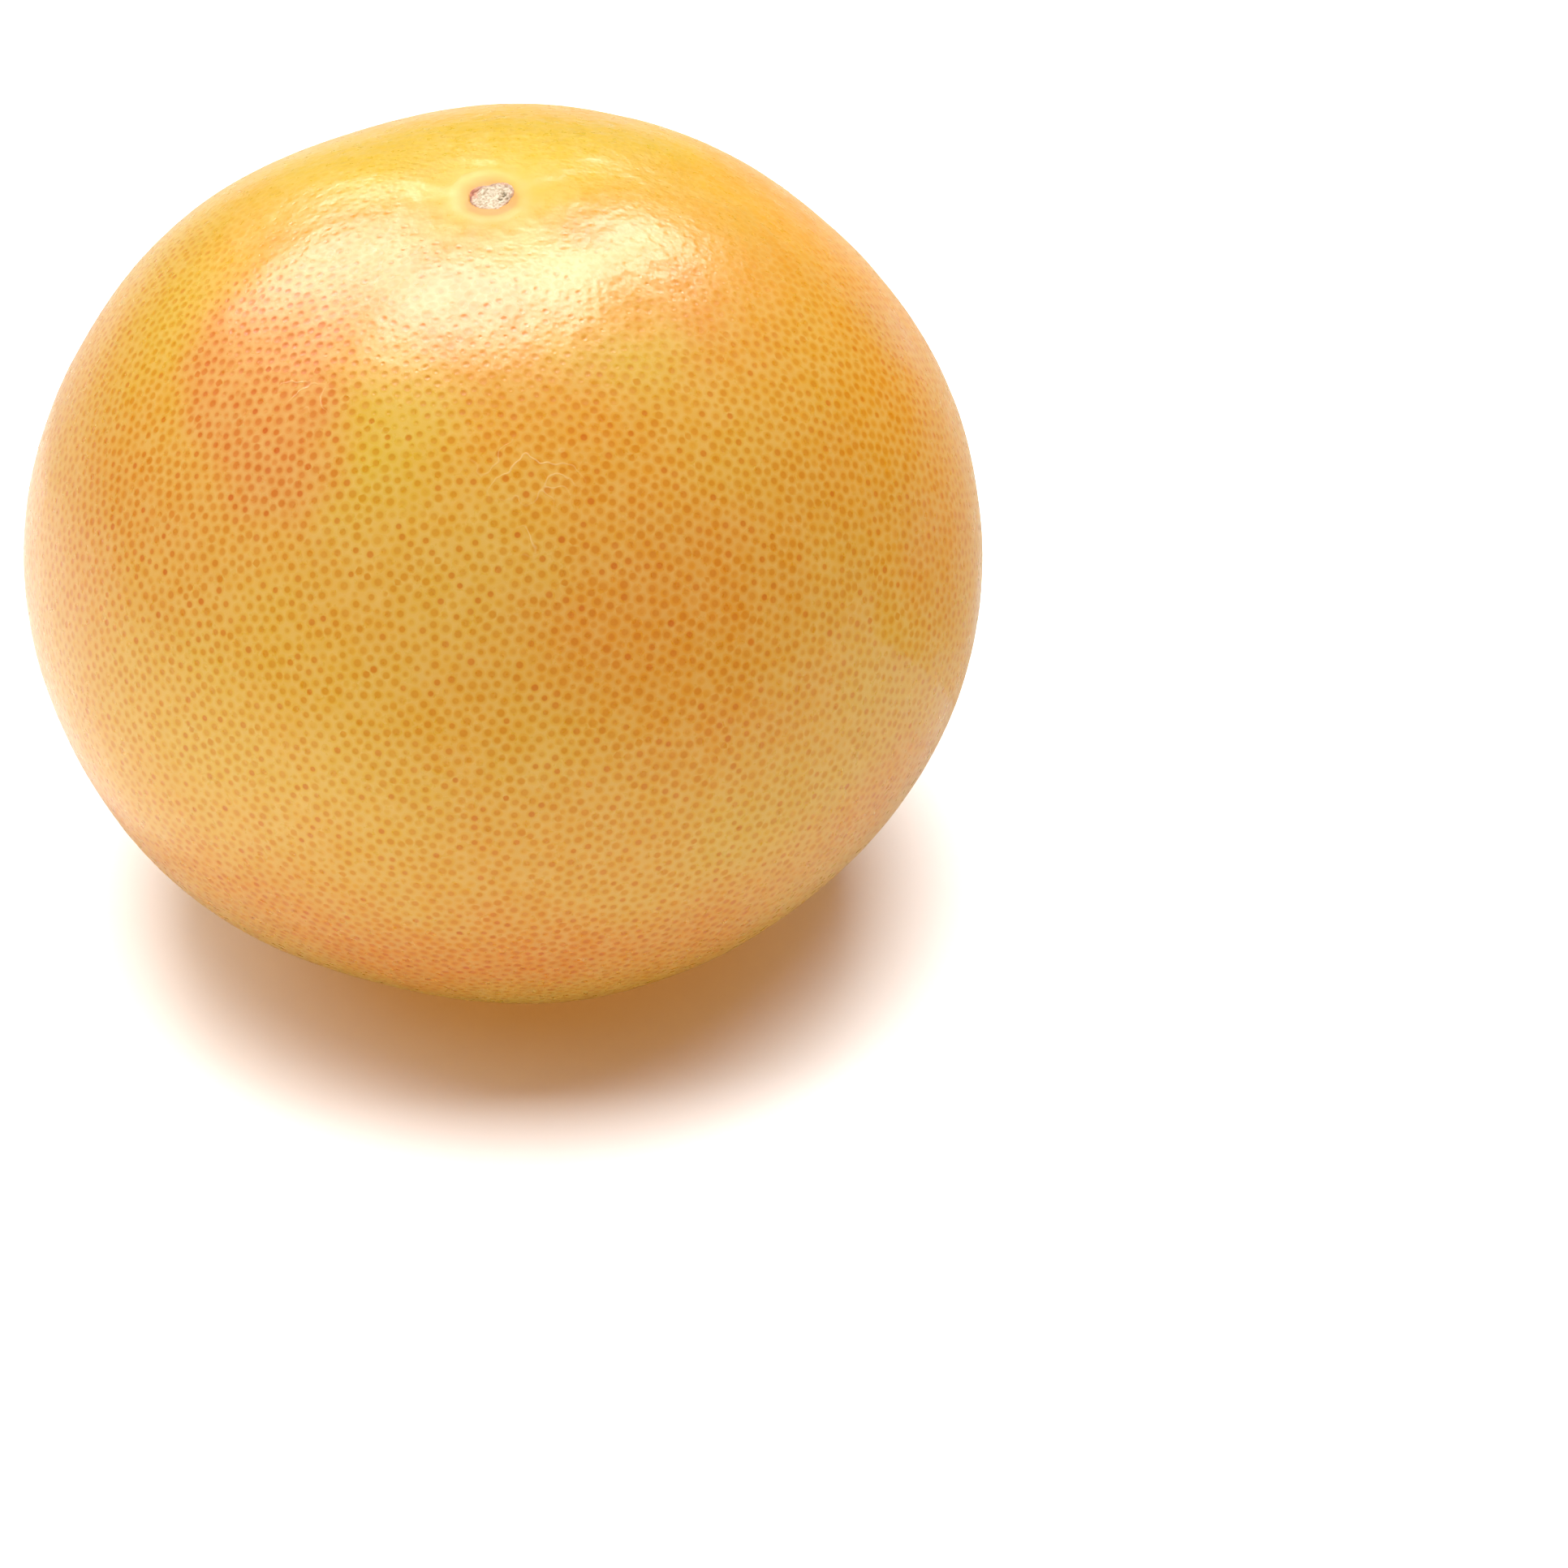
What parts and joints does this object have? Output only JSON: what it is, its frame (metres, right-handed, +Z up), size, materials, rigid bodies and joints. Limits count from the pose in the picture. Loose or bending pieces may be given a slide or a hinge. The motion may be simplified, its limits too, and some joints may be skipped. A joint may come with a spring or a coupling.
{
  "type": "grapefruit",
  "caption": "Whole ripe grapefruit with a calyx button at its stem end, standing on the small flat spot at its blossom end.",
  "frame": {"origin": "on the surface that the fruit stands on, under the middle of the fruit", "axes": "+Z up from the blossom end to the stem end; the stem end leans half a degree towards -X; +X and +Y horizontal"},
  "size_m": [0.11, 0.11, 0.098],
  "materials": {
    "fruit": "satin",
    "calyx_button": "matte"
  },
  "bodies": {
    "root": {"fruit": "fruit", "calyx_button": "calyx_button"}
  },
  "joints": []
}
